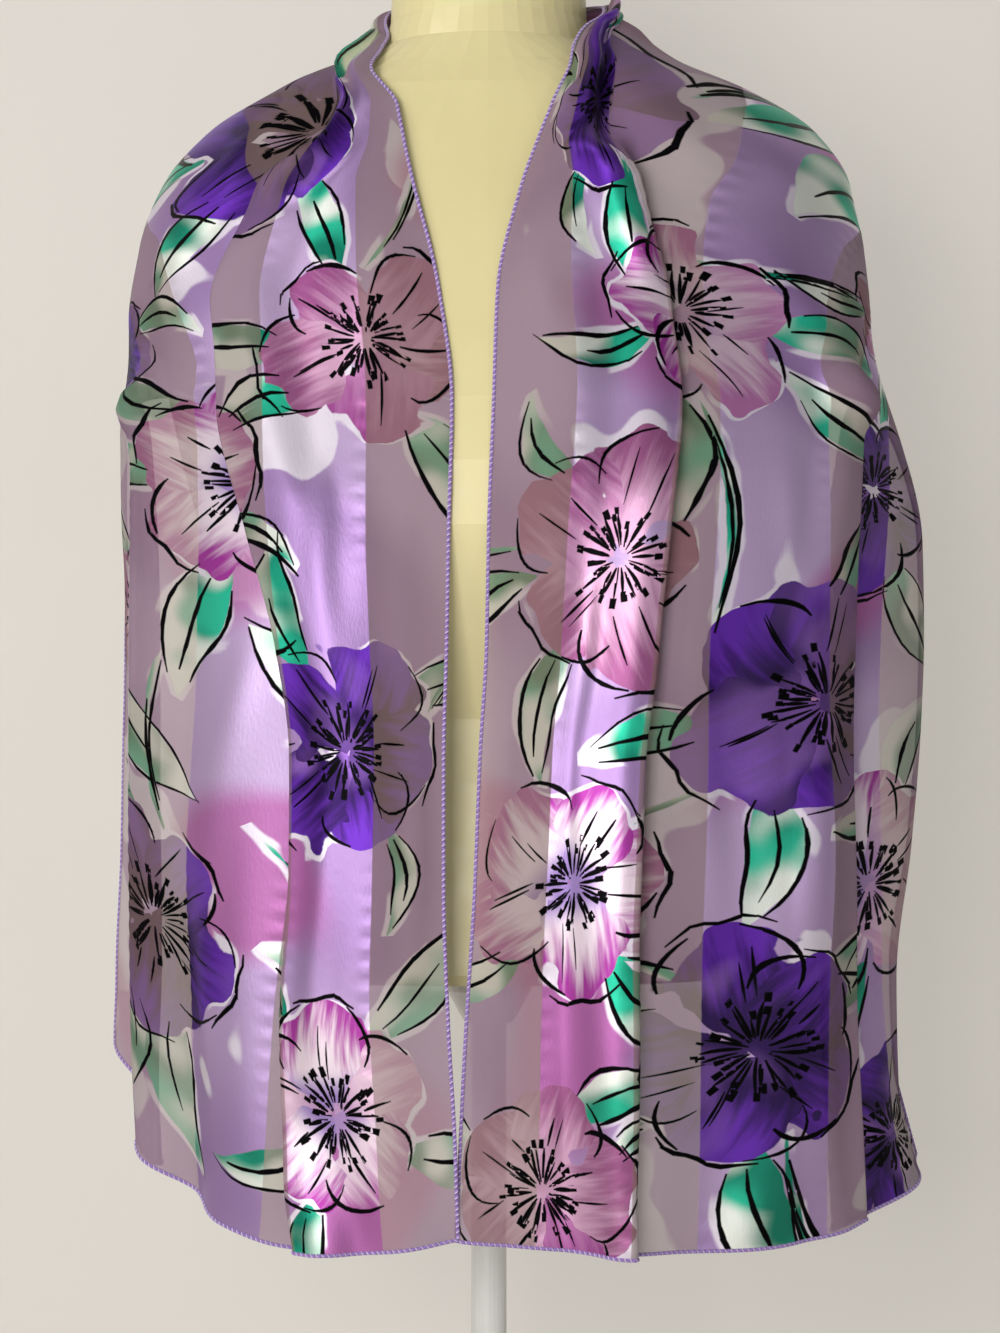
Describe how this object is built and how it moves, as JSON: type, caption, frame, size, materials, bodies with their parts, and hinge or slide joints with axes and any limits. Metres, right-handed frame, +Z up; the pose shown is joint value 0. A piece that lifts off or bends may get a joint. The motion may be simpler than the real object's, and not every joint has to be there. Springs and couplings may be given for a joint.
{
  "type": "scarf on a limbless torso form and stand",
  "caption": "Long oblong striped scarf in sheer and satin bands, draped as a stole over a smooth limbless torso form on a pole and round base",
  "frame": {"origin": "centre of the underside of the round base", "axes": "+Z up along the pole, the front of the form faces -Y, +X is the right-hand side seen from the front"},
  "size_m": [0.4596, 0.3014, 0.866],
  "materials": {
    "cloth": "satin",
    "form": "satin",
    "stand": "semi-gloss"
  },
  "bodies": {
    "root": {"scarf_left_front": "cloth", "scarf_back": "cloth", "scarf_right_front": "cloth", "dress_form": "form", "stand_collar": "stand", "stand_pole": "stand", "stand_base": "stand"}
  },
  "joints": []
}
